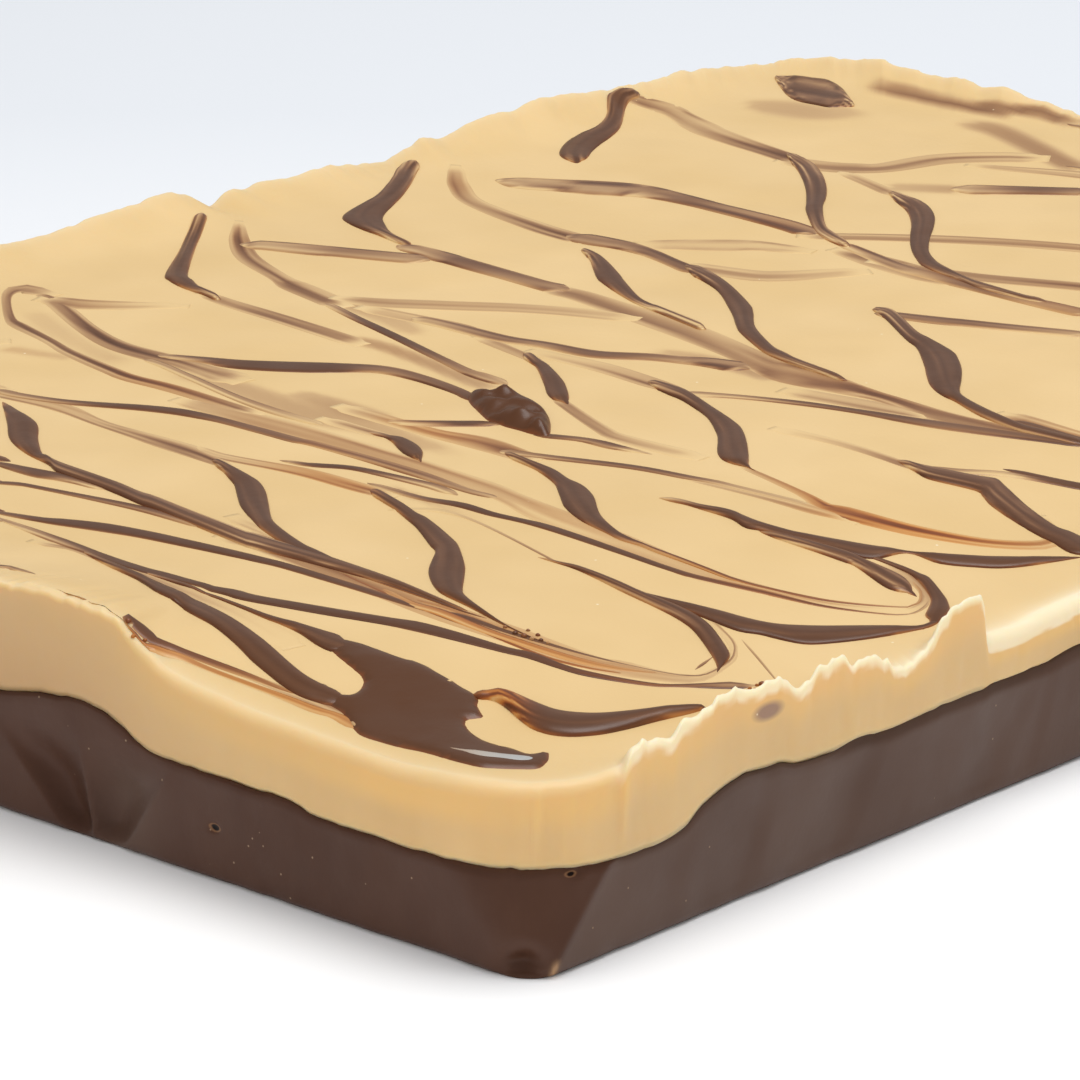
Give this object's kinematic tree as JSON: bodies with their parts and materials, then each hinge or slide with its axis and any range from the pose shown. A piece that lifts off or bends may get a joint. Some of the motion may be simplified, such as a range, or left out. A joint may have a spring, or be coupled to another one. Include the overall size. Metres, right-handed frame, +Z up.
{
  "type": "fudge slab",
  "caption": "Uncut slab of two-layer fudge: a dark chocolate base under a thick peanut fudge layer with a ragged rolled rim and a marbled chocolate top.",
  "frame": {"origin": "middle of the slab's outline, on the flat underside that it rests on", "axes": "+X along the slab's length, +Y across its width from the low front wall, +Z up"},
  "size_m": [0.3, 0.212, 0.0295],
  "materials": {
    "chocolate": "satin dark brown chocolate with a faint pale bloom",
    "fudge": "smooth, slightly waxy, translucent cream-tan fudge",
    "swirl": "soft-gloss dark brown chocolate marbling"
  },
  "bodies": {
    "root": {"chocolate_base": "chocolate", "peanut_fudge": "fudge"}
  },
  "joints": []
}
